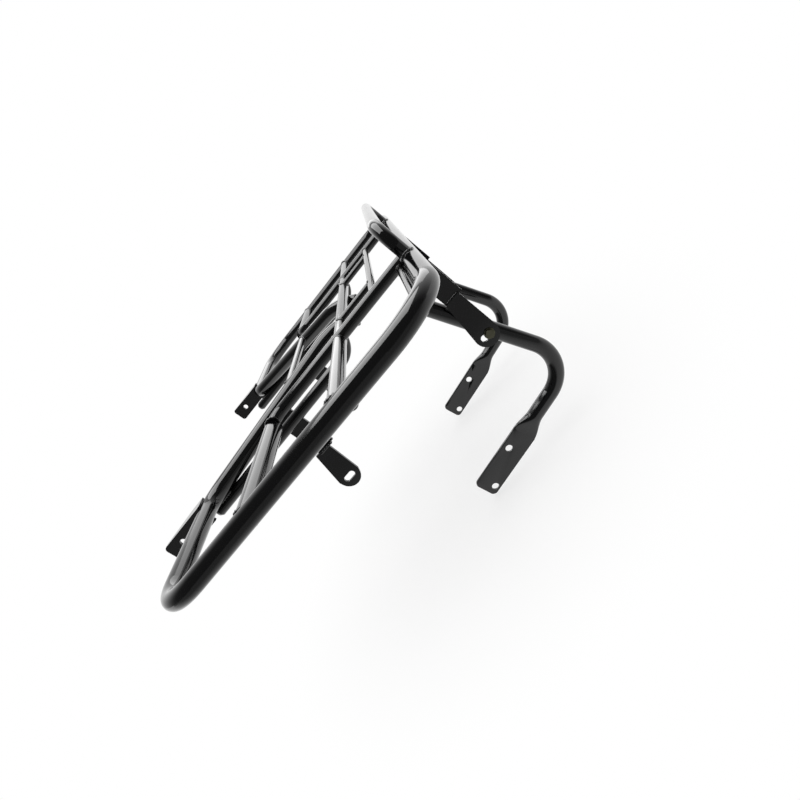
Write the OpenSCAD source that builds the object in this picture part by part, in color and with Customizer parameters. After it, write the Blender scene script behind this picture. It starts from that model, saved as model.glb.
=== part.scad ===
// Rear rack for a quad bike, welded from bent steel tube, round rod and flat bar.
// Millimetres. X across the vehicle, Y towards its back, Z up.
// The origin is the middle of the deck, at the centre height of the main tube.

/* [Part shown] */
// Sub-part drawn

/* [Deck] */
// Diameter of the main tube
tube_d = 25.4; // [20:0.1:32]
// Distance from the middle to a side tube's centre
side_x = 507; // [400:1:600]
// Distance from the middle to the centre of the front and rear tubes
end_y = 232.6; // [180:0.1:300]
// Centreline radius of the four outer corners
corner_r = 70; // [40:1:90]
// Across position of a recess arm's centre where it would meet the front tube
arm_x = 242.2; // [180:0.1:300]
// Angle of the recess arms from the front tube
arm_turn = 63; // [45:1:80]
// Centreline radius of the recess arm's bend
arm_r = 45; // [30:1:70]
// Y at which a recess arm starts to bend down
arm_dip_y = 30; // [0:1:60]
// Centreline radius of the dip
arm_dip_r = 130; // [90:1:200]
// Angle of the dip
arm_dip = 34; // [20:1:45]

/* [Deck rods] */
// Diameter of the deck rods
rod_d = 12; // [10:0.5:18]
// Centre height of the deck rods
rod_z = 6.4; // [0:0.1:8]
// Diameter of the long tubes beside the middle
run_d = 18; // [14:0.5:22]
// Centre height of the long tubes
run_z = 5.6; // [0:0.1:8]
// Across position of the long tubes
run_x = 255; // [200:0.5:320]
// Y at which a long tube's bend would become square to it
run_front_y = -68; // [-140:1:-40]
// Centreline radius of a long tube's bend
run_r = 28; // [18:1:50]
// Y of the front side tubes
front_side_y = -68.5; // [-140:0.5:-40]
// Across position of the inner end of a front side tube
front_side_x = 268; // [262:1:320]
// Y of the rear side rods
rear_side_y = 212.5; // [180:0.5:213]
// Diameter of the cross tube
cross_d = 19; // [14:0.5:25]
// Centre height of the cross tube
cross_z = 3; // [-2:0.1:8]
// Y of the cross tube
cross_y = 86.5; // [40:0.5:120]
// Y of the rear cross rod
rear_rod_y = 163.5; // [130:0.5:190]
// Across position of the two short rods
short_x = 161; // [80:1:220]
// Y of the rod across the recess
recess_rod_y = -44.5; // [-120:0.5:20]

/* [Hoop] */
// Diameter of the hoop tube
hoop_d = 19; // [14:0.5:25]
// Distance from the middle to a hoop upright
hoop_x = 279; // [200:1:340]
// Height of the hoop's top centreline
hoop_z = 59; // [30:1:90]
// Centreline radius of the hoop's bends
hoop_r = 32; // [24:1:45]

/* [Under tubes] */
// Diameter of the under tubes
under_d = 18; // [14:0.5:22]
// Across position of the under tubes
under_x = 226; // [180:1:250]
// Centre height of the under tubes
under_z = -21.2; // [-24:0.1:-19]
// Y of the front end of an under tube
under_front_y = -251; // [-270:1:-236]

/* [Front tabs] */
// Across position of the front tabs
tab_x = 277; // [262:1:320]
// Thickness of a tab's flat bar
tab_t = 5; // [3:0.5:8]
// Y of the tab's tip
tab_tip_y = -318; // [-350:1:-290]
// Radius of the hole in a tab
tab_hole_r = 5.25; // [4:0.05:7]
// Y of the hole in a tab
tab_hole_y = -290; // [-310:1:-270]

/* [Slotted brackets] */
// Thickness of the bracket plates and posts
plate_t = 5; // [3:0.5:8]
// Across position of the front bracket plate's outer face
front_plate_x = 171; // [150:1:190]
// Across position of the rear bracket plate's outer face
rear_plate_x = 195.7; // [180:0.1:220]
// Length of a bracket slot
slot_len = 22; // [16:0.5:30]
// Width of a bracket slot
slot_w = 11; // [9:0.5:13]

/* [Legs] */
// Across position of the legs
leg_x = 178; // [160:1:200]
// Centreline radius of a leg's lower bend
leg_r = 56; // [40:1:80]
// Thickness of a leg's flattened foot
foot_t = 5; // [4:0.5:8]
// Width of a leg's flattened foot
foot_w = 41; // [34:1:46]
// Radius of the two holes in a foot
foot_hole_r = 6; // [4:0.1:8]

/* [Fasteners] */
// Diameter of the leg bolts
bolt_d = 8; // [6:1:10]
// Width across the flats of a bolt head and nut
hex_af = 13; // [10:1:17]
// Outside diameter of a washer
washer_d = 17; // [16:1:26]
// Thickness of a washer
washer_t = 1.8; // [1:0.1:3]

/* [Hidden] */
$fn = 32;
black = [0.03, 0.03, 0.032];
zinc = [0.55, 0.52, 0.36];
tr = tube_d / 2;
// Direction of the left recess arm in the deck plane
arm_dx = -cos(arm_turn);
arm_dy = sin(arm_turn);
arm_tan = arm_r * tan(arm_turn / 2);
arm_start = [arm_x + arm_dx * arm_tan, -end_y + arm_dy * arm_tan];
// Length of an arm from its bend to the start of its dip
arm_len = (arm_dip_y - arm_start[1]) / arm_dy;
// Leg: two straight runs that meet at a corner, seen from the side
leg_top = [183.7, -66];
leg_vertex = [273.6, -308];
leg_lean = atan2(leg_vertex[0] - leg_top[0], leg_top[1] - leg_vertex[1]);
foot_slope = 9.6;
leg_bend = 90 - foot_slope + leg_lean;
leg_tan = leg_r * tan(leg_bend / 2);
leg_down = norm(leg_vertex - leg_top) - leg_tan;
leg_round_y = 150;
foot_top = [130, -334.8];
foot_dir = 8.75;
foot_len = 116;
foot_holes = [[96.7, -332.4], [31.8, -361.8]];
bolt_y = 219;
bolt_z = -171.5;

// Round bar between two points
module bar(a, b, d) {
    v = b - a;
    len = norm(v);
    translate(a)
        rotate([0, acos(v[2] / len), atan2(v[1], v[0])])
            cylinder(h = len, d = d);
}

// Part of a torus about Z, starting on +X
module bend(r, angle, d) {
    rotate_extrude(angle = angle, $fn = 72)
        translate([r, 0])
            circle(d = d, $fn = 32);
}

// Flat outline in Y and Z, given a thickness along X from x0
module flat_bar(x0, t) {
    translate([x0, 0, 0])
        rotate([90, 0, 90])
            linear_extrude(height = t)
                children();
}

module mirrored(side) {
    mirror([side < 0 ? 1 : 0, 0, 0])
        children();
}

// Recess arm in the left half. Its own frame lies along the straight run.
module arm(d) {
    translate([arm_start[0], arm_start[1], 0])
        rotate([0, 0, 180 - arm_turn]) {
            rotate([0, 90, 0])
                cylinder(h = arm_len, d = d);
            translate([0, -arm_r, 0])
                rotate([0, 0, 90])
                    bend(arm_r, arm_turn, d);
            translate([arm_len, 0, -arm_dip_r])
                rotate([-90, 0, 0])
                    rotate([0, 0, -90])
                        bend(arm_dip_r, arm_dip, d);
        }
}

// Bore in the open end of an arm
module arm_mouth(d, depth) {
    translate([arm_start[0], arm_start[1], 0])
        rotate([0, 0, 180 - arm_turn])
            translate([arm_len, 0, -arm_dip_r])
                rotate([0, arm_dip, 0])
                    translate([-depth, 0, arm_dip_r])
                        rotate([0, 90, 0])
                            cylinder(h = depth + 2, d = d);
}

// Corner of the loop, from the side tube to the front or rear tube
module corner(sx, sy, turn) {
    translate([sx * (side_x - corner_r), sy * (end_y - corner_r), 0])
        rotate([0, 0, turn])
            bend(corner_r, 90, tube_d);
}

module main_loop() {
    color(black) {
        bar([-side_x + corner_r, end_y, 0], [side_x - corner_r, end_y, 0], tube_d);
        corner(1, 1, 0);
        corner(-1, 1, 90);
        corner(-1, -1, 180);
        corner(1, -1, 270);
        bar([side_x, -end_y + corner_r, 0], [side_x, end_y - corner_r, 0], tube_d);
        bar([-side_x, -end_y + corner_r, 0], [-side_x, end_y - corner_r, 0], tube_d);
        bar([side_x - corner_r, -end_y, 0], [arm_x + arm_tan, -end_y, 0], tube_d);
        bar([-side_x + corner_r, -end_y, 0], [-arm_x - arm_tan, -end_y, 0], tube_d);
    }
}

module recess_arm(side) {
    color(black)
        mirrored(side)
            difference() {
                arm(tube_d);
                arm_mouth(tube_d - 4, 14);
                bar([0, cross_y, cross_z], [140, cross_y, cross_z], cross_d);
            }
}

// Side, front and rear tubes as plain bars, used to cope what meets them
module side_bar() {
    bar([side_x, -end_y, 0], [side_x, end_y, 0], tube_d);
}

module rear_bar() {
    bar([-side_x, end_y, 0], [side_x, end_y, 0], tube_d);
}

module long_bar() {
    bar([run_x, run_front_y, run_z], [run_x, end_y, run_z], run_d);
}

// Runs from the rear tube to the front, where it bends into the end of the front side tube
module inner_loop(side) {
    color(black)
        mirrored(side)
            difference() {
                union() {
                    bar([run_x, run_front_y + run_r, run_z], [run_x, end_y - 9, run_z], run_d);
                    translate([run_x + run_r, run_front_y + run_r, run_z])
                        rotate([0, 0, 180])
                            bend(run_r, 90, run_d);
                }
                rear_bar();
                translate([front_side_x, run_front_y - 20, -20])
                    cube([40, 60, 50]);
            }
}

module front_side_tube(side) {
    color(black)
        mirrored(side)
            difference() {
                bar([front_side_x, front_side_y, 0], [side_x - 4, front_side_y, 0], tube_d);
                side_bar();
            }
}

module rear_side_rod(side) {
    reach = sqrt(corner_r ^ 2 - (rear_side_y - end_y + corner_r) ^ 2);
    color(black)
        mirrored(side)
            difference() {
                bar([run_x + 2, rear_side_y, 0], [side_x - corner_r + reach, rear_side_y, 0], rod_d);
                long_bar();
                corner(1, 1, 0);
            }
}

module cross_tube_centre() {
    color(black)
        difference() {
            bar([-run_x + 2, cross_y, cross_z], [run_x - 2, cross_y, cross_z], cross_d);
            for (side = [1, -1])
                mirrored(side)
                    long_bar();
        }
}

module cross_tube(side) {
    color(black)
        mirrored(side)
            difference() {
                bar([run_x + 2, cross_y, cross_z], [side_x, cross_y, cross_z], cross_d);
                long_bar();
                side_bar();
            }
}

module rear_cross_rod() {
    color(black)
        difference() {
            bar([-run_x + 1.5, rear_rod_y, rod_z], [run_x - 1.5, rear_rod_y, rod_z], rod_d);
            for (side = [1, -1])
                mirrored(side)
                    long_bar();
        }
}

module short_rod(side) {
    color(black)
        mirrored(side)
            difference() {
                bar([short_x, cross_y, rod_z], [short_x, rear_rod_y - 1.5, rod_z], rod_d);
                bar([short_x - 20, cross_y, cross_z], [short_x + 20, cross_y, cross_z], cross_d);
                bar([short_x - 20, rear_rod_y, rod_z], [short_x + 20, rear_rod_y, rod_z], rod_d);
            }
}

module recess_cross_rod() {
    half = arm_start[0] + arm_dx / arm_dy * (recess_rod_y - arm_start[1]);
    color(black)
        difference() {
            bar([-half, recess_rod_y, rod_z], [half, recess_rod_y, rod_z], rod_d);
            for (side = [1, -1])
                mirrored(side)
                    arm(tube_d);
        }
}

module hoop() {
    color(black)
        difference() {
            union() {
                for (side = [1, -1])
                    mirrored(side) {
                        bar([hoop_x, end_y, 0], [hoop_x, end_y, hoop_z - hoop_r], hoop_d);
                        translate([hoop_x - hoop_r, end_y, hoop_z - hoop_r])
                            rotate([90, 0, 0])
                                bend(hoop_r, 90, hoop_d);
                        bar([hoop_x - hoop_r, end_y, hoop_z], [0, end_y, hoop_z], hoop_d);
                    }
            }
            rear_bar();
        }
}

// Runs under the front tube, then rises to the cross tube
module under_tube(side) {
    rise_r = 33;
    rise = 74;
    rise_y = 54;
    color(black)
        mirrored(side)
            difference() {
                union() {
                    bar([under_x, under_front_y + 4, under_z], [under_x, rise_y, under_z], under_d);
                    translate([under_x, under_front_y, under_z])
                        rotate([-90, 0, 0])
                            cylinder(h = 4, d1 = under_d - 5, d2 = under_d);
                    translate([under_x, rise_y, under_z + rise_r])
                        rotate([0, 90, 0])
                            bend(rise_r, rise, under_d);
                }
                bar([under_x - 30, cross_y, cross_z], [under_x + 30, cross_y, cross_z], cross_d);
                // Flat where it is welded under the recess arm
                translate([under_x - 20, -end_y - 2, -tr])
                    cube([40, 60, 20]);
            }
}

module tab_side() {
    difference() {
        hull() {
            translate([-end_y, -16])
                square([1, 32]);
            translate([tab_tip_y + 6, -10])
                circle(r = 6);
            translate([tab_tip_y + 6, 10])
                circle(r = 6);
        }
        translate([tab_hole_y, 1])
            circle(r = tab_hole_r);
    }
}

module front_tab(side) {
    color(black)
        mirrored(side)
            difference() {
                union() {
                    flat_bar(tab_x - tab_t / 2, tab_t)
                        tab_side();
                    translate([0, 0, 13])
                        linear_extrude(height = 3)
                            polygon([
                                [tab_x, -end_y + 4],
                                [tab_x - 26, -end_y + 4],
                                [tab_x - 26, -end_y - 22],
                                [tab_x - 6, tab_tip_y + 8],
                                [tab_x, tab_tip_y + 4]
                            ]);
                }
                bar([tab_x - 60, -end_y, 0], [tab_x + 60, -end_y, 0], tube_d);
            }
}

// Slot with round ends, along Y
module slot2d(y, z) {
    for (s = [-1, 1])
        translate([y + s * (slot_len - slot_w) / 2, z])
            circle(d = slot_w);
    translate([y - (slot_len - slot_w) / 2, z - slot_w / 2])
        square([slot_len - slot_w, slot_w]);
}

module front_post(side) {
    color(black)
        mirrored(side)
            difference() {
                flat_bar(front_plate_x - 2 * plate_t, plate_t)
                    polygon([[-102.4, -6], [-69.1, -6], [-69.1, -99.8], [-102.4, -99.8]]);
                arm(tube_d);
            }
}

module front_slotted_plate(side) {
    color(black)
        mirrored(side)
            flat_bar(front_plate_x - plate_t, plate_t)
                difference() {
                    hull() {
                        polygon([[-108.2, -95.9], [-79.6, -97], [-82.8, -162], [-123.5, -155.5]]);
                        translate([-103.3, -159.4])
                            circle(r = 19.5);
                    }
                    slot2d(-103.3, -160.4);
                }
}

module rear_post(side) {
    color(black)
        mirrored(side)
            difference() {
                flat_bar(rear_plate_x - 2 * plate_t, plate_t)
                    polygon([[209, -6], [241.5, -6], [241.5, -98], [209, -98]]);
                rear_bar();
            }
}

module rear_slotted_plate(side) {
    color(black)
        mirrored(side)
            flat_bar(rear_plate_x - plate_t, plate_t)
                difference() {
                    hull() {
                        polygon([[208.5, -95], [235.5, -95], [235.5, -164], [195.4, -168]]);
                        translate([215.5, -170])
                            circle(r = 20);
                    }
                    slot2d(214, -171.5);
                }
}

module leg(side) {
    color(black)
        mirrored(side)
            difference() {
                leg_frame() {
                    translate([0, 0, -leg_down])
                        cylinder(h = leg_down, d = tube_d);
                    translate([0, -leg_r, -leg_down])
                        rotate([0, -90, 0])
                            rotate([0, 0, 90])
                                bend(leg_r, leg_bend, tube_d);
                }
                bolt_hole(bolt_d + 0.5);
                // Open top of the tube
                leg_frame()
                    translate([0, 0, -16])
                        cylinder(h = 20, d = tube_d - 4);
            }
}

// The leg's own frame lies along its upper run
module leg_frame() {
    translate([leg_x, leg_top[0], leg_top[1]])
        rotate([leg_lean, 0, 0])
            children();
}

module bolt_hole(d) {
    translate([leg_x - 30, bolt_y, bolt_z])
        rotate([0, 90, 0])
            cylinder(h = 60, d = d);
}

// Foot: the round run after the leg's bend, the pressed part and the flat end
module foot(side) {
    run = [-cos(foot_slope), -sin(foot_slope)];
    start = leg_vertex + run * leg_tan;
    mid = leg_vertex + run * ((leg_vertex[0] - leg_round_y) / cos(foot_slope));
    color(black)
        mirrored(side) {
            bar([leg_x, start[0], start[1]], [leg_x, mid[0], mid[1]], tube_d);
            hull() {
                translate([leg_x, mid[0], mid[1]])
                    rotate([90 - foot_slope, 0, 0])
                        translate([0, 0, -0.4])
                            cylinder(h = 0.8, d = tube_d + 0.3);
                foot_frame()
                    translate([-foot_t / 2 + 0.1, -1, -foot_w / 2 + 0.2])
                        cube([foot_t - 0.2, 1, foot_w - 0.4]);
            }
            difference() {
                foot_frame()
                    translate([-foot_t / 2, -foot_len, -foot_w / 2])
                        cube([foot_t, foot_len, foot_w]);
                for (h = foot_holes)
                    translate([leg_x - 10, h[0], h[1]])
                        rotate([0, 90, 0])
                            cylinder(h = 20, r = foot_hole_r);
            }
        }
}

// The foot's own frame starts where it becomes flat
module foot_frame() {
    translate([leg_x, foot_top[0], foot_top[1]])
        rotate([foot_dir, 0, 0])
            children();
}

module hex(h) {
    cylinder(h = h, d = hex_af / cos(30), $fn = 6);
}

module leg_bolt(side) {
    seat = rear_plate_x + washer_t;
    inner = leg_x - tr - 8.5;
    color(zinc)
        mirrored(side)
            translate([0, bolt_y, bolt_z])
                rotate([0, 90, 0]) {
                    translate([0, 0, inner])
                        cylinder(h = seat - inner, d = bolt_d);
                    translate([0, 0, seat])
                        intersection() {
                            hex(5.3);
                            cylinder(h = 5.3, d1 = hex_af + 12, d2 = hex_af + 0.6);
                        }
                }
}

module leg_washer(side) {
    color(zinc)
        mirrored(side)
            translate([rear_plate_x, bolt_y, bolt_z])
                rotate([0, 90, 0])
                    difference() {
                        cylinder(h = washer_t, d = washer_d);
                        translate([0, 0, -1])
                            cylinder(h = washer_t + 2, d = bolt_d + 0.4);
                    }
}

module leg_nut(side) {
    color(zinc)
        mirrored(side)
            translate([leg_x - tr - 6.5, bolt_y, bolt_z])
                rotate([0, 90, 0])
                    difference() {
                        hex(6.5);
                        translate([0, 0, -1])
                            cylinder(h = 8.5, d = bolt_d);
                    }
}

main_loop();
recess_arm(1);  // left_recess_arm
recess_arm(-1);  // right_recess_arm
inner_loop(1);  // left_inner_loop
inner_loop(-1);  // right_inner_loop
front_side_tube(1);  // left_front_side_tube
front_side_tube(-1);  // right_front_side_tube
rear_side_rod(1);  // left_rear_side_rod
rear_side_rod(-1);  // right_rear_side_rod
cross_tube_centre();
cross_tube(1);  // left_cross_tube
cross_tube(-1);  // right_cross_tube
rear_cross_rod();
short_rod(1);  // left_short_rod
short_rod(-1);  // right_short_rod
recess_cross_rod();
hoop();
under_tube(1);  // left_under_tube
under_tube(-1);  // right_under_tube
front_tab(1);  // left_front_tab
front_tab(-1);  // right_front_tab
front_post(1);  // left_front_post
front_post(-1);  // right_front_post
front_slotted_plate(1);  // left_front_slotted_plate
front_slotted_plate(-1);  // right_front_slotted_plate
rear_post(1);  // left_rear_post
rear_post(-1);  // right_rear_post
rear_slotted_plate(1);  // left_rear_slotted_plate
rear_slotted_plate(-1);  // right_rear_slotted_plate
leg(1);  // left_leg
leg(-1);  // right_leg
foot(1);  // left_foot
foot(-1);  // right_foot
leg_bolt(1);  // left_leg_bolt
leg_bolt(-1);  // right_leg_bolt
leg_washer(1);  // left_leg_washer
leg_washer(-1);  // right_leg_washer
leg_nut(1);  // left_leg_nut
leg_nut(-1);  // right_leg_nut
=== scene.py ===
"""Quad bike rear rack: black painted tube, zinc bolts, weld beads, studio light and camera."""
import math

import bmesh
import bpy
from mathutils import Matrix, Vector


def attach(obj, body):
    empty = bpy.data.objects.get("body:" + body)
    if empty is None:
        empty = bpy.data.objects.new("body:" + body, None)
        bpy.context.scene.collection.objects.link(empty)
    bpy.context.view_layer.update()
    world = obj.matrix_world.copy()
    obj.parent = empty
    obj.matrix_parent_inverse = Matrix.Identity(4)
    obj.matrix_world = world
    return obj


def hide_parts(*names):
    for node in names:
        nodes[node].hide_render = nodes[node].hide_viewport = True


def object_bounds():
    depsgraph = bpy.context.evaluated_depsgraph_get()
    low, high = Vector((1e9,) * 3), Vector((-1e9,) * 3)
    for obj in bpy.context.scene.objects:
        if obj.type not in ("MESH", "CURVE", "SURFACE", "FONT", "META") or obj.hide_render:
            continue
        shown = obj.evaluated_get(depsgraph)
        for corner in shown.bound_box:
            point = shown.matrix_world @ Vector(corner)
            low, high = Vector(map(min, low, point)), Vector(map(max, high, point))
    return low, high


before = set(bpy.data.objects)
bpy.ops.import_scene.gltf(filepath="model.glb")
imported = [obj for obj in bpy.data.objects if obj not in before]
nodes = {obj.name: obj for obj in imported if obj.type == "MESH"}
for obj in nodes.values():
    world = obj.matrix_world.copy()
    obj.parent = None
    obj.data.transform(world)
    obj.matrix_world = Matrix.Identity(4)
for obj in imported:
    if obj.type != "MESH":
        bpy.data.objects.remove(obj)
cad_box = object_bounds()
scene = bpy.context.scene
scene.view_settings.view_transform = "Standard"
MM = 0.001
# The two sides of the rack, and what X, Y and Z of a left-hand place are multiplied by on each
SIDES = (("left_", Vector((1, 1, 1))), ("right_", Vector((-1, 1, 1))))


# Camera, in the place the photograph was taken from. Lens and sensor in mm, places in metres.

LENS, SENSOR = 27.0, 36.0
CAMERA_PLACE = (1.05168, 0.26010, 0.11852)
CAMERA_RIGHT = (0.07583, 0.63351, -0.77001)
CAMERA_FORWARD = (-0.93502, -0.22310, -0.27562)


def add_camera():
    data = bpy.data.cameras.new("photo_camera")
    data.lens = LENS
    data.sensor_width = SENSOR
    data.sensor_fit = "HORIZONTAL"
    data.clip_start = 0.01
    data.clip_end = 50.0
    camera = bpy.data.objects.new("photo_camera", data)
    scene.collection.objects.link(camera)
    right = Vector(CAMERA_RIGHT).normalized()
    forward = Vector(CAMERA_FORWARD).normalized()
    up = right.cross(forward).normalized()
    turn = Matrix((right, up, -forward)).transposed().to_4x4()
    camera.matrix_world = Matrix.Translation(CAMERA_PLACE) @ turn
    scene.camera = camera


add_camera()


# Short ways to place the shader nodes that are used more than once

def mapped(tree, value, low=0.0, high=1.0, to_low=0.0, to_high=1.0, smooth=False):
    """Value moved from the range low to high onto the range to_low to to_high."""
    node = tree.nodes.new("ShaderNodeMapRange")
    if smooth:
        node.interpolation_type = "SMOOTHSTEP"
    node.inputs["From Min"].default_value = low
    node.inputs["From Max"].default_value = high
    node.inputs["To Min"].default_value = to_low
    node.inputs["To Max"].default_value = to_high
    tree.links.new(value, node.inputs["Value"])
    return node.outputs["Result"]


def computed(tree, operation, first, second):
    """Result of a sum, product or maximum of two sockets."""
    node = tree.nodes.new("ShaderNodeMath")
    node.operation = operation
    tree.links.new(first, node.inputs[0])
    tree.links.new(second, node.inputs[1])
    return node.outputs[0]


def noise(tree, coord, scale, detail=2.0):
    """Noise in the object's own space. Scale is a number, or a socket that gives it."""
    node = tree.nodes.new("ShaderNodeTexNoise")
    node.inputs["Detail"].default_value = detail
    tree.links.new(coord.outputs["Object"], node.inputs["Vector"])
    if isinstance(scale, float):
        node.inputs["Scale"].default_value = scale
    else:
        tree.links.new(scale, node.inputs["Scale"])
    return node.outputs["Fac"]


def blended_color(tree, factor, first, second):
    node = tree.nodes.new("ShaderNodeMix")
    node.data_type = "RGBA"
    tree.links.new(factor, node.inputs["Factor"])
    # Its number sockets are called A, B and Result too, so the colour ones are taken by their place
    tree.links.new(first, node.inputs[6])
    tree.links.new(second, node.inputs[7])
    return node.outputs[2]


def axis_of(tree, vector, axis):
    node = tree.nodes.new("ShaderNodeSeparateXYZ")
    tree.links.new(vector, node.inputs[0])
    return node.outputs[axis]


# Shader groups, each built once and shared by the materials

def new_group(name, inputs):
    """Empty group with the given inputs, and outputs for colour, roughness and height."""
    tree = bpy.data.node_groups.new(name, "ShaderNodeTree")
    for label, value in inputs.items():
        kind = "NodeSocketFloat" if isinstance(value, float) else "NodeSocketColor"
        tree.interface.new_socket(name=label, in_out="INPUT", socket_type=kind).default_value = value
    tree.interface.new_socket(name="Color", in_out="OUTPUT", socket_type="NodeSocketColor")
    tree.interface.new_socket(name="Roughness", in_out="OUTPUT", socket_type="NodeSocketFloat")
    tree.interface.new_socket(name="Height", in_out="OUTPUT", socket_type="NodeSocketFloat")
    return tree, tree.nodes.new("NodeGroupInput").outputs, tree.nodes.new("NodeGroupOutput").inputs


def paint_surface_group():
    """Wet-look paint: faint orange peel, soft cloudy gloss, a little dust on faces that look up."""
    tree, given, result = new_group("paint_surface", {
        "Paint Color": (0.0025, 0.0025, 0.0028, 1),
        "Dust Color": (0.03, 0.03, 0.032, 1),
        "Dust": 0.05,
        "Gloss Roughness": 0.2,
        "Peel Scale": 900.0,
    })
    coord = tree.nodes.new("ShaderNodeTexCoord")
    peel = noise(tree, coord, given["Peel Scale"])
    cloud = noise(tree, coord, 22.0, 4.0)
    specks = noise(tree, coord, 420.0, 3.0)
    # Dust settles where the surface faces up
    geometry = tree.nodes.new("ShaderNodeNewGeometry")
    facing_up = mapped(tree, axis_of(tree, geometry.outputs["Normal"], "Z"), low=0.2)
    spotty = mapped(tree, specks, low=0.45, high=0.7)
    settled = computed(tree, "MULTIPLY", facing_up, spotty)
    dust = computed(tree, "MULTIPLY", settled, given["Dust"])
    color = blended_color(tree, dust, given["Paint Color"], given["Dust Color"])
    tree.links.new(color, result["Color"])
    # The gloss drifts a little, and dust dulls it
    drift = mapped(tree, cloud, to_low=-0.05, to_high=0.08)
    gloss = computed(tree, "ADD", given["Gloss Roughness"], drift)
    dulled = mapped(tree, dust, to_high=0.35)
    tree.links.new(computed(tree, "ADD", dulled, gloss), result["Roughness"])
    tree.links.new(peel, result["Height"])
    return tree


def plated_surface_group():
    """Zinc plating: colour drifts from straw to olive, with fine scratches in the gloss."""
    tree, given, result = new_group("plated_surface", {
        "Plating": (0.16, 0.15, 0.11, 1),
        "Tint": (0.09, 0.095, 0.06, 1),
        "Roughness": 0.32,
    })
    coord = tree.nodes.new("ShaderNodeTexCoord")
    drift = noise(tree, coord, 130.0, 3.0)
    grain = noise(tree, coord, 1400.0)
    tree.links.new(blended_color(tree, drift, given["Plating"], given["Tint"]), result["Color"])
    scratches = mapped(tree, grain, to_low=-0.08, to_high=0.12)
    tree.links.new(computed(tree, "ADD", given["Roughness"], scratches), result["Roughness"])
    tree.links.new(grain, result["Height"])
    return tree


paint_surface = paint_surface_group()
plated_surface = plated_surface_group()


def material(name, group, values, metallic=0.0, coat=0.0, bump=0.02):
    mat = bpy.data.materials.new(name)
    mat.use_nodes = True
    tree = mat.node_tree
    shader = tree.nodes["Principled BSDF"]
    surface = tree.nodes.new("ShaderNodeGroup")
    surface.node_tree = group
    surface.location = (-520, 120)
    for key, value in values.items():
        surface.inputs[key].default_value = value
    relief = tree.nodes.new("ShaderNodeBump")
    relief.location = (-240, -160)
    relief.inputs["Strength"].default_value = bump
    relief.inputs["Distance"].default_value = 0.4 * MM
    tree.links.new(surface.outputs["Color"], shader.inputs["Base Color"])
    tree.links.new(surface.outputs["Roughness"], shader.inputs["Roughness"])
    tree.links.new(surface.outputs["Height"], relief.inputs["Height"])
    tree.links.new(relief.outputs["Normal"], shader.inputs["Normal"])
    shader.inputs["Metallic"].default_value = metallic
    shader.inputs["Coat Weight"].default_value = coat
    shader.inputs["Coat Roughness"].default_value = 0.06
    shader.inputs["IOR"].default_value = 1.5
    return mat


black_paint = material("black_gloss_paint", paint_surface, {"Gloss Roughness": 0.07}, coat=0.25, bump=0.03)
weld_paint = material(
    "black_paint_on_weld", paint_surface,
    {"Gloss Roughness": 0.3, "Peel Scale": 500.0, "Dust": 0.4}, coat=0.5, bump=0.4)
zinc_plate = material("olive_zinc_plate", plated_surface, {}, metallic=1.0, bump=0.1)

ZINC_PARTS = ("_bolt", "_washer", "_nut")


def paint_nodes():
    for name, obj in nodes.items():
        finish = zinc_plate if name.endswith(ZINC_PARTS) else black_paint
        for slot in obj.material_slots:
            slot.material = finish


paint_nodes()


# Weld beads: a rippled bead along the line where a rod or tube meets another

def add_mesh(name, bm, finish):
    mesh = bpy.data.meshes.new(name)
    bm.to_mesh(mesh)
    bm.free()
    for face in mesh.polygons:
        face.use_smooth = True
    mesh.materials.append(finish)
    obj = bpy.data.objects.new(name, mesh)
    scene.collection.objects.link(obj)
    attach(obj, "root")
    return obj


def sweep(bm, points, outward, radius, closed):
    """A round bead along points. Its thickness ripples, as laid weld metal does."""
    count, rings, sides = len(points), [], 8
    for i, point in enumerate(points):
        before = points[i - 1] if (closed or i) else points[i]
        after = points[(i + 1) % count] if (closed or i < count - 1) else points[i]
        along = (after - before).normalized()
        side = along.cross(outward[i]).normalized()
        lift = side.cross(along).normalized()
        ripple = 0.18 * math.sin(i * 4 * math.pi / 7)
        unevenness = 0.08 * math.sin(i * 1.7)
        r = radius * (1 + ripple + unevenness)
        if not closed:
            # A bead starts and ends thin
            r *= min(1.0, 0.35 + min(i, count - 1 - i) * 0.3)
        rings.append([bm.verts.new(point + (side * math.cos(a) + lift * math.sin(a)) * r)
                      for a in (2 * math.pi * k / sides for k in range(sides))])
    last = count if closed else count - 1
    for i in range(last):
        a, b = rings[i], rings[(i + 1) % count]
        for k in range(sides):
            bm.faces.new((a[k], a[(k + 1) % sides], b[(k + 1) % sides], b[k]))
    if not closed:
        bm.faces.new(rings[0][::-1])
        bm.faces.new(rings[-1])


def add_bead(name, points, outward, bead, closed):
    """One bead as a piece of its own. The points and the bead's radius are in mm."""
    bm = bmesh.new()
    sweep(bm, [point * MM for point in points], outward, bead * MM, closed)
    bmesh.ops.recalc_face_normals(bm, faces=bm.faces)
    add_mesh(name, bm, weld_paint)


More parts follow.
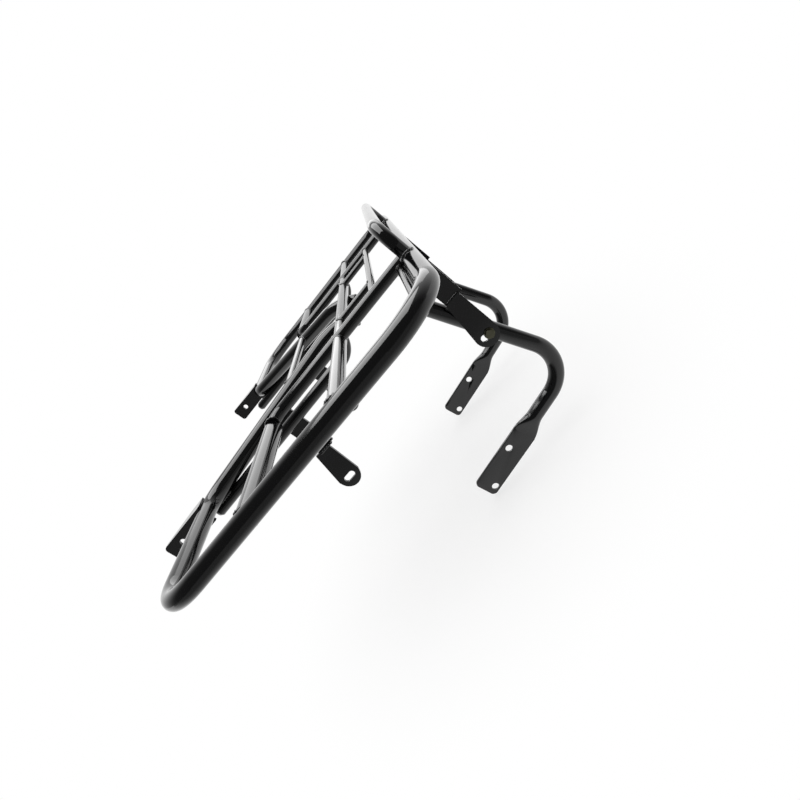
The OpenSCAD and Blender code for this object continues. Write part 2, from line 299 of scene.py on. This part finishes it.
def saddle(rod, host, flip, steps=64):
    """Line where a rod runs into a round host tube. Each is a point, a direction and a radius."""
    (rod_point, rod_dir, rod_r), (host_point, host_dir, host_r) = rod, host
    rod_point, host_point = Vector(rod_point) * flip, Vector(host_point) * flip
    rod_dir, host_dir = (Vector(rod_dir) * flip).normalized(), (Vector(host_dir) * flip).normalized()
    u = rod_dir.orthogonal().normalized()
    v = rod_dir.cross(u)
    points, outward = [], []
    flat = rod_dir - host_dir * rod_dir.dot(host_dir)
    for i in range(steps):
        t = 2 * math.pi * i / steps
        out = u * math.cos(t) + v * math.sin(t)
        start = rod_point + out * rod_r
        gap = start - host_point
        gap -= host_dir * gap.dot(host_dir)
        a, b, c = flat.dot(flat), 2 * gap.dot(flat), gap.dot(gap) - host_r ** 2
        root = b * b - 4 * a * c
        reach = (-b - math.sqrt(root)) / (2 * a) if root > 0 else -b / (2 * a)
        points.append(start + rod_dir * reach)
        outward.append(out)
    return points, outward


def weld(name, rod, host, bead=1.9):
    """The bead of a rod on its host, on both sides of the rack."""
    for label, flip in SIDES:
        points, outward = saddle(rod, host, flip)
        add_bead(label + name, points, outward, bead, closed=True)


def seam(name, points, out, bead):
    """A bead with two ends, which stands out to one side, on both sides of the rack."""
    for label, flip in SIDES:
        outward = [Vector(out) * flip] * len(points)
        add_bead(label + name, [point * flip for point in points], outward, bead, closed=False)


def straight_seam(name, start, end, out, bead=2.0):
    start, end = Vector(start), Vector(end)
    steps = max(4, round((end - start).length / 1.4))
    seam(name, [start.lerp(end, i / steps) for i in range(steps + 1)], out, bead)


def ring_seam(name, centre, radii, bead=1.8, steps=48):
    """A bead round an end that is cut square to X."""
    points = []
    for i in range(steps + 1):
        a = 2 * math.pi * i / steps
        points.append(Vector(centre) + Vector((0, math.cos(a) * radii[0], math.sin(a) * radii[1])))
    seam(name, points, (1, 0, 0), bead)


# Radii and centrelines of the tubes and rods on the left-hand side, in mm

TUBE_R, CROSS_R, LONG_R, ROD_R = 12.7, 9.5, 9.0, 6.0
ALONG_X, AGAINST_X, ALONG_Y, AGAINST_Y, DOWN = (1, 0, 0), (-1, 0, 0), (0, 1, 0), (0, -1, 0), (0, 0, -1)
SIDE_X, REAR_Y = 507, 232.6
CROSS_Y, CROSS_Z = 86.5, 3
LONG_X, LONG_Z = 255, 5.6
ROD_Z, REAR_ROD_Y, RECESS_ROD_Y, SHORT_ROD_X = 6.4, 163.5, -44.5, 161
FRONT_SIDE_Y, REAR_SIDE_Y = -68.5, 212.5
HOOP_X, UNDER_X = 279, 226
ARM_TURN = math.radians(63)

side_tube = ((SIDE_X, 0, 0), ALONG_Y, TUBE_R)
rear_tube = ((0, REAR_Y, 0), ALONG_X, TUBE_R)
cross_tube = ((0, CROSS_Y, CROSS_Z), ALONG_X, CROSS_R)
long_tube = ((LONG_X, 0, LONG_Z), ALONG_Y, LONG_R)
rear_rod = ((0, REAR_ROD_Y, ROD_Z), ALONG_X, ROD_R)
recess_arm = ((206.8, -163, 0), (-math.cos(ARM_TURN), math.sin(ARM_TURN), 0), TUBE_R)

# Places along the rods from which each runs into its host: in the side bay, the middle and the recess
BAY_X, MIDDLE_X, RECESS_X = 300, 200, 60
BETWEEN_Y = 120

# Where a rod is about as thick as its host or stands above it, its bead is laid a little further in
weld("front_side_weld", ((BAY_X, FRONT_SIDE_Y, 0), ALONG_X, 12.0), side_tube, bead=2.2)
weld("long_rear_weld", ((LONG_X, BETWEEN_Y, LONG_Z), ALONG_Y, 8.6), rear_tube)
weld("rear_side_weld", ((BAY_X, REAR_SIDE_Y, 0), AGAINST_X, ROD_R), long_tube, bead=1.4)
weld("cross_side_weld", ((BAY_X, CROSS_Y, CROSS_Z), ALONG_X, CROSS_R), side_tube, bead=2.2)
weld("cross_inner_weld", ((MIDDLE_X, CROSS_Y, CROSS_Z), ALONG_X, 8.6), long_tube, bead=1.6)
weld("cross_outer_weld", ((BAY_X, CROSS_Y, CROSS_Z), AGAINST_X, 8.6), long_tube, bead=1.6)
weld("rear_rod_weld", ((MIDDLE_X, REAR_ROD_Y, ROD_Z), ALONG_X, ROD_R), long_tube, bead=1.6)
weld("short_front_weld", ((SHORT_ROD_X, BETWEEN_Y, ROD_Z), AGAINST_Y, ROD_R), cross_tube, bead=1.6)
weld("short_rear_weld", ((SHORT_ROD_X, BETWEEN_Y, ROD_Z), ALONG_Y, 5.8), rear_rod, bead=1.4)
weld("recess_rod_weld", ((RECESS_X, RECESS_ROD_Y, ROD_Z), ALONG_X, ROD_R), recess_arm, bead=1.8)
weld("hoop_weld", ((HOOP_X, REAR_Y, 40), DOWN, CROSS_R), rear_tube, bead=2.3)

# The long tube's bend is cut at a slant, which makes its end an oval
ring_seam("front_bend_weld", (267.8, -63.6, LONG_Z), (10.2, 8.6))


# Beads between each bracket plate and its post, and between posts, tabs and tubes. In mm.

FRONT_PLATE_X, REAR_POST_X = 171, 190.7
TAB_X, TAB_T = 277, 5

straight_seam("front_plate_weld", (FRONT_PLATE_X, -101, -99.8), (FRONT_PLATE_X, -71, -99.8), (0, 0, 1))
straight_seam("rear_plate_weld", (REAR_POST_X, 211, -95), (REAR_POST_X, 235, -95), (0, 0, 1), 2.4)
straight_seam("rear_post_outer_weld", (REAR_POST_X, 222, -11.5), (REAR_POST_X, 241, -10.5), (1, 0, -1), 2.4)
for face, facing in (("inner", -1), ("outer", 1)):
    face_x = TAB_X + facing * TAB_T / 2
    straight_seam("front_tab_" + face + "_weld", (face_x, -244, -9), (face_x, -245.4, 8), (facing, 0, 0), 2.2)
# The under tube lies along the recess arm, and its rise ends at the cross tube
straight_seam("under_outer_weld", (234, -234, -13.5), (232, -205, -13.5), ALONG_X, 2.2)
weld("under_rise_weld", ((UNDER_X, 60, -32), (0, 0.55, 0.835), 8.6), cross_tube, bead=2.0)


# Feet: the tube pressed flat, with a soft change of section and rounded ends. In mm.

LEG_X = 178
FOOT_SLOPE, FOOT_DIR = math.radians(9.6), math.radians(8.75)
# Y and Z of the tube's centre where the leg's bend ends, where the press starts and where it is flat
BEND_END = (206.9, -319.3)
PRESS_START = (166, -326.2)
FLAT_START = (130, -334.8)
FOOT_T, FOOT_W, FOOT_LEN, FOOT_CORNER = 5, 41, 116, 8
# Each hole's place along and across the flat
FOOT_HOLES, FOOT_HOLE_R = ((32.55, 7.44), (101.16, -11.75)), 6


def foot_section(blend, steps=48):
    """Section of the foot, thickness and height: a circle at 0, a flat bar with soft edges at 1."""
    half_t = TUBE_R + (FOOT_T / 2 - TUBE_R) * blend
    half_w = TUBE_R + (FOOT_W / 2 - TUBE_R) * blend
    power = 1 - 0.75 * blend
    points = []
    for i in range(steps):
        across, up = math.cos(2 * math.pi * i / steps), math.sin(2 * math.pi * i / steps)
        across = math.copysign(abs(across) ** power, across) * half_t
        up = math.copysign(abs(up) ** power, up) * half_w
        points.append((across, up))
    return points


def add_pressed_tube(bm):
    """Rings from the leg's bend to just inside the flat bar."""
    stations = [(BEND_END, 0, FOOT_SLOPE), (PRESS_START, 0, FOOT_SLOPE)]
    count = 16
    for i in range(1, count + 1):
        t = i / count
        place = [PRESS_START[k] + (FLAT_START[k] - PRESS_START[k]) * t for k in range(2)]
        stations.append((place, t * t * (3 - 2 * t), FOOT_SLOPE + (FOOT_DIR - FOOT_SLOPE) * t))
    rings = []
    for (y, z), blend, angle in stations:
        ring = []
        for across, up in foot_section(blend):
            point = Vector((LEG_X + across, y - math.sin(angle) * up, z + math.cos(angle) * up))
            ring.append(bm.verts.new(point * MM))
        rings.append(ring)
    for low, high in zip(rings, rings[1:]):
        for k in range(len(low)):
            bm.faces.new((low[k], low[(k + 1) % len(low)], high[(k + 1) % len(low)], high[k]))
    bm.faces.new(rings[0][::-1])
    bm.faces.new(rings[-1])


def loop_edges(bm, points):
    verts = [bm.verts.new(point) for point in points]
    return [bm.edges.new((verts[i], verts[(i + 1) % len(verts)])) for i in range(len(verts))]


def add_flat_foot(bm):
    """Flat bar with two holes, its far corners rounded and its edges eased."""
    along = Vector((0, -math.cos(FOOT_DIR), -math.sin(FOOT_DIR)))
    up = Vector((0, -math.sin(FOOT_DIR), math.cos(FOOT_DIR)))
    origin = Vector((LEG_X - FOOT_T / 2, *FLAT_START))

    def place(run, height):
        return (origin + along * run + up * height) * MM

    def arc(run, height, radius, start, turn, count):
        """Points round an arc. Its start and the turn between points are in degrees."""
        points = []
        for i in range(count):
            a = math.radians(start + turn * i)
            points.append(place(run + radius * math.cos(a), height + radius * math.sin(a)))
        return points

    half, far = FOOT_W / 2, FOOT_LEN - FOOT_CORNER
    # The near end lies 2 mm inside the pressed tube
    outline = [place(-2, -half)]
    outline += arc(far, FOOT_CORNER - half, FOOT_CORNER, -90, 90 / 8, 9)
    outline += arc(far, half - FOOT_CORNER, FOOT_CORNER, 0, 90 / 8, 9)
    outline.append(place(-2, half))
    edges = loop_edges(bm, outline)
    for run, height in FOOT_HOLES:
        edges += loop_edges(bm, arc(run, height, FOOT_HOLE_R, 0, 360 / 40, 40))
    filled = bmesh.ops.triangle_fill(bm, edges=edges, use_beauty=True)["geom"]
    faces = [item for item in filled if isinstance(item, bmesh.types.BMFace)]
    raised = bmesh.ops.extrude_face_region(bm, geom=faces)["geom"]
    raised_verts = [item for item in raised if isinstance(item, bmesh.types.BMVert)]
    bmesh.ops.translate(bm, verts=raised_verts, vec=Vector((FOOT_T * MM, 0, 0)))
    bmesh.ops.recalc_face_normals(bm, faces=bm.faces)
    sharp = [e for e in bm.edges if len(e.link_faces) == 2 and e.calc_face_angle() > math.radians(60)]
    bmesh.ops.bevel(bm, geom=sharp, offset=0.6 * MM, segments=2, profile=0.5, affect="EDGES")


def add_foot(label, flip):
    bm = bmesh.new()
    add_flat_foot(bm)
    add_pressed_tube(bm)
    for vert in bm.verts:
        vert.co = vert.co * flip
    bmesh.ops.recalc_face_normals(bm, faces=bm.faces)
    foot = add_mesh(label + "pressed_foot", bm, black_paint)
    foot.data.set_sharp_from_angle(angle=math.radians(40))
    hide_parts(label + "foot")


for label, flip in SIDES:
    add_foot(label, flip)


# Floor, backdrop and light. In metres.

FLOOR_HALF = 12.0
FLOOR_DROP = 0.002


def floor_material():
    """Pale floor that turns into plain white away from the rack, so no horizon shows."""
    mat = bpy.data.materials.new("pale_floor")
    mat.use_nodes = True
    tree = mat.node_tree
    shader = tree.nodes["Principled BSDF"]
    shader.inputs["Base Color"].default_value = (0.9, 0.9, 0.9, 1)
    shader.inputs["Roughness"].default_value = 1.0
    shader.inputs["Specular IOR Level"].default_value = 0.0
    coord = tree.nodes.new("ShaderNodeTexCoord").outputs["Object"]
    away = tree.nodes.new("ShaderNodeVectorMath")
    away.operation = "LENGTH"
    tree.links.new(coord, away.inputs[0])
    fade = mapped(tree, away.outputs["Value"], low=0.1, high=0.7, to_low=0.4, smooth=True)
    # The camera and reflections see the white, and the light that falls on things doesn't
    path = tree.nodes.new("ShaderNodeLightPath")
    seen = computed(tree, "MAXIMUM", path.outputs["Is Camera Ray"], path.outputs["Is Glossy Ray"])
    # Reflections see the sheet end in front of the rack
    front = mapped(tree, axis_of(tree, coord, "X"), low=0.2, high=0.9, to_low=1.0, to_high=0.25)
    white = tree.nodes.new("ShaderNodeEmission")
    bright = computed(tree, "MAXIMUM", path.outputs["Is Camera Ray"], front)
    tree.links.new(bright, white.inputs["Strength"])
    mix = tree.nodes.new("ShaderNodeMixShader")
    tree.links.new(computed(tree, "MULTIPLY", fade, seen), mix.inputs["Fac"])
    tree.links.new(shader.outputs[0], mix.inputs[1])
    tree.links.new(white.outputs[0], mix.inputs[2])
    tree.links.new(mix.outputs[0], tree.nodes["Material Output"].inputs["Surface"])
    return mat


def add_floor():
    bm = bmesh.new()
    low = cad_box[0][2] - FLOOR_DROP
    corners = ((-1, -1), (1, -1), (1, 1), (-1, 1))
    bm.faces.new([bm.verts.new((x * FLOOR_HALF, y * FLOOR_HALF, low)) for x, y in corners])
    mesh = bpy.data.meshes.new("floor")
    bm.to_mesh(mesh)
    bm.free()
    mesh.materials.append(floor_material())
    floor = bpy.data.objects.new("floor", mesh)
    scene.collection.objects.link(floor)


def add_softbox(name, where, aim, size, radiance, mirrored_only=False):
    """A lamp seen in reflections only, or a lamp that lights the scene and isn't reflected."""
    data = bpy.data.lights.new(name, "AREA")
    data.shape = "RECTANGLE"
    data.size, data.size_y = size
    data.energy = radiance * math.pi * size[0] * size[1]
    lamp = bpy.data.objects.new(name, data)
    scene.collection.objects.link(lamp)
    lamp.visible_diffuse = not mirrored_only
    lamp.visible_glossy = mirrored_only
    lamp.location = where
    lamp.rotation_euler = (Vector(aim) - Vector(where)).to_track_quat("-Z", "Y").to_euler()


def add_world():
    """White behind the rack, and a dim room on the camera's side for reflections."""
    world = bpy.data.worlds.new("white_studio")
    world.use_nodes = True
    scene.world = world
    tree = world.node_tree
    back = tree.nodes["Background"]
    back.inputs["Color"].default_value = (1, 1, 1, 1)
    coord = tree.nodes.new("ShaderNodeTexCoord").outputs["Generated"]
    room = mapped(tree, axis_of(tree, coord, "X"), low=0.25, high=-0.75, to_low=0.1, smooth=True)
    path = tree.nodes.new("ShaderNodeLightPath")
    # Reflections see the room, and the light that falls on things is an even 0.25
    shown = tree.nodes.new("ShaderNodeMix")
    shown.inputs["A"].default_value = 0.25
    tree.links.new(path.outputs["Is Glossy Ray"], shown.inputs["Factor"])
    tree.links.new(room, shown.inputs["B"])
    strength = computed(tree, "MAXIMUM", shown.outputs[0], path.outputs["Is Camera Ray"])
    tree.links.new(strength, back.inputs["Strength"])


def add_softboxes():
    """Each softbox is a pair: one lights the scene, and one just in front of it is reflected."""
    for label, where, aim, size, fill, shine in (
            ("overhead", (-0.1, 0.45, 2.0), (-0.1, 0.46, 0), (2.2, 2.2), 2.4, 4.2),
            ("behind", (-2.0, 0.6, 1.15), (0, 0, 0), (2.7, 1.2), 2.8, 1.5)):
        nearer = Vector(where).lerp(Vector(aim), 0.04)
        add_softbox(label + "_fill", where, aim, size, fill)
        add_softbox(label + "_reflection", nearer, aim, size, shine, mirrored_only=True)


add_floor()
add_world()
add_softboxes()
